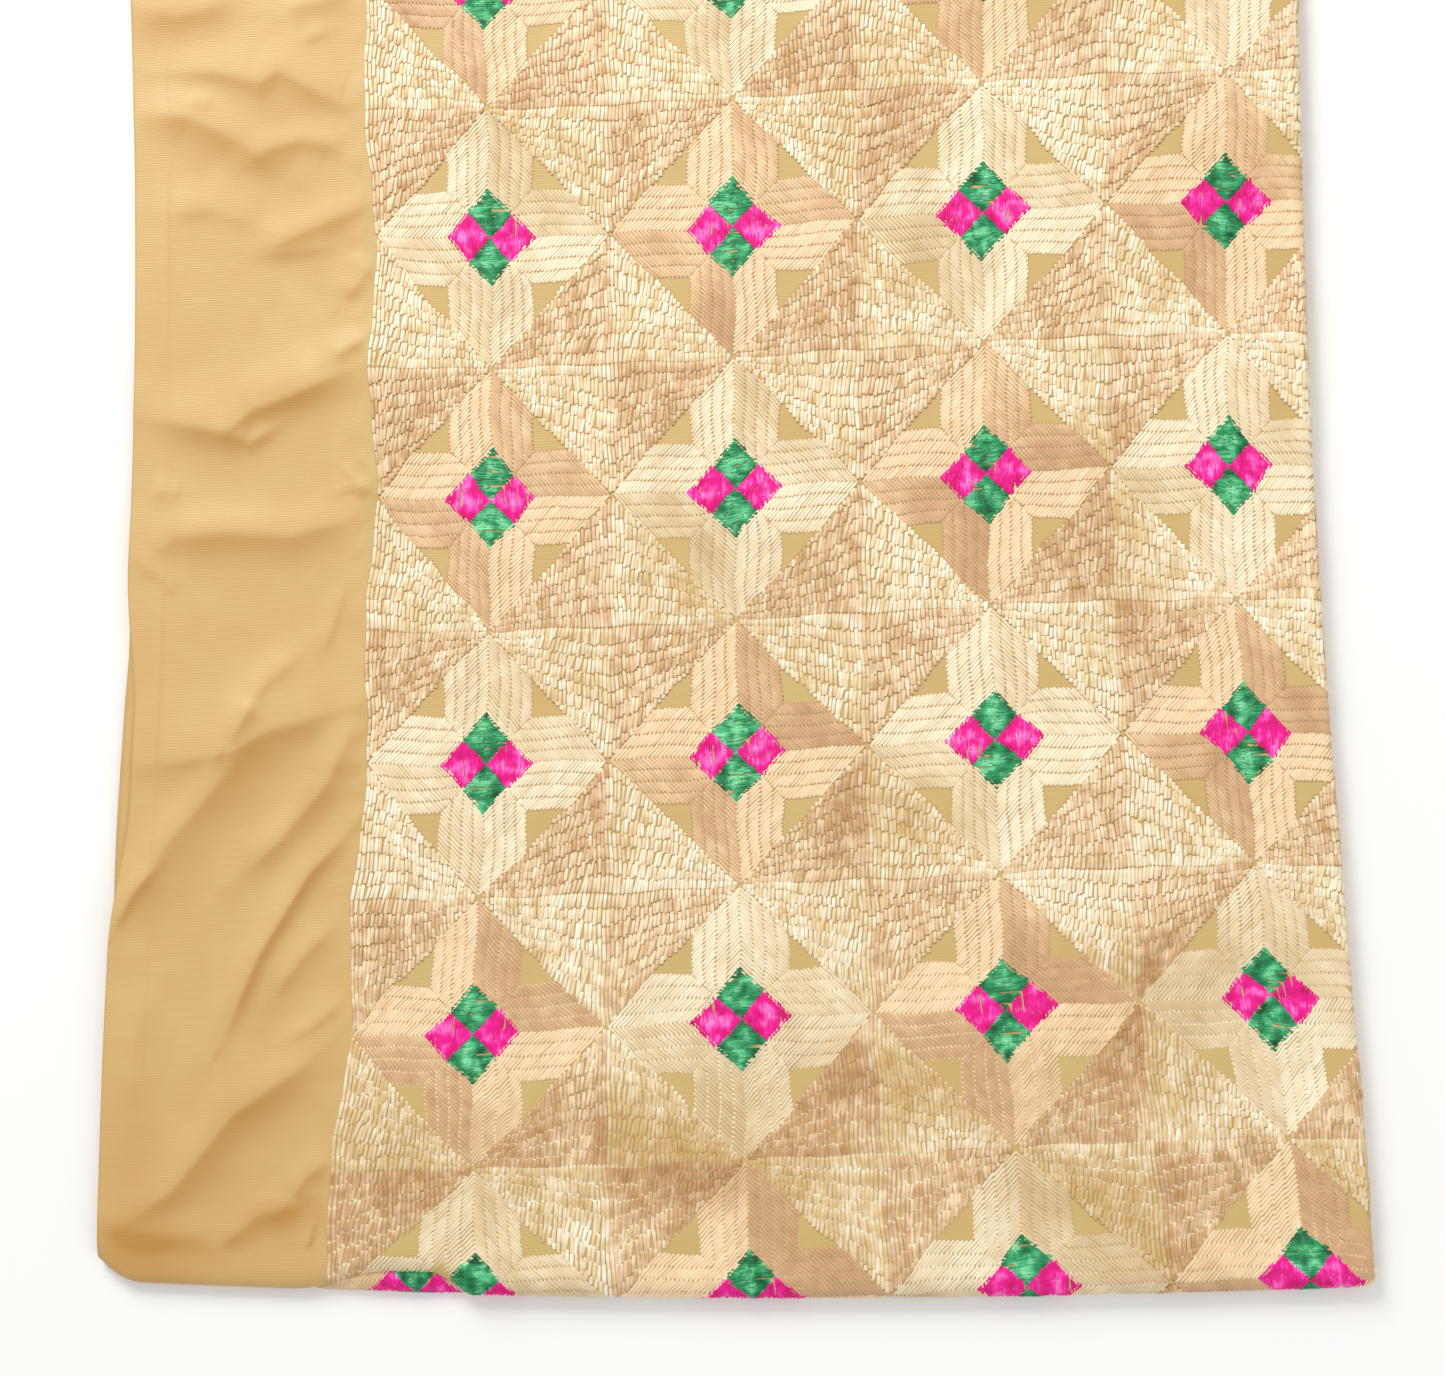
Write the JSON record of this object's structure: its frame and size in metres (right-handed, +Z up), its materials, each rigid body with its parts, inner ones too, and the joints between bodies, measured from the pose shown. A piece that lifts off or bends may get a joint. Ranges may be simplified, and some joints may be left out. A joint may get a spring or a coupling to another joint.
{
  "type": "phulkari shawl",
  "caption": "Gold shawl with dense cream and peach floss stars, green and pink diamonds and a plain border, folded flat in quarters.",
  "frame": {"origin": "middle of the folded shawl's box, on the surface that it lies on", "axes": "+X from the stacked selvedges to the lengthwise fold, +Y from the crosswise fold to the hemmed ends, +Z up"},
  "size_m": [0.5134, 1.1342, 0.0105],
  "materials": {
    "embroidered_cloth": "silk-like floss in satin stitches over a ribbed gold ground, with a soft sheen",
    "ground_cloth": "plain gold cloth with fine ribs and a faint silky sheen",
    "lower_embroidered_cloth": "peach and cream floss stitches bending round a fold"
  },
  "bodies": {
    "root": {"top_leaf": "embroidered_cloth", "lower_leaves": "ground_cloth", "shown_fold": "lower_embroidered_cloth"}
  },
  "joints": []
}
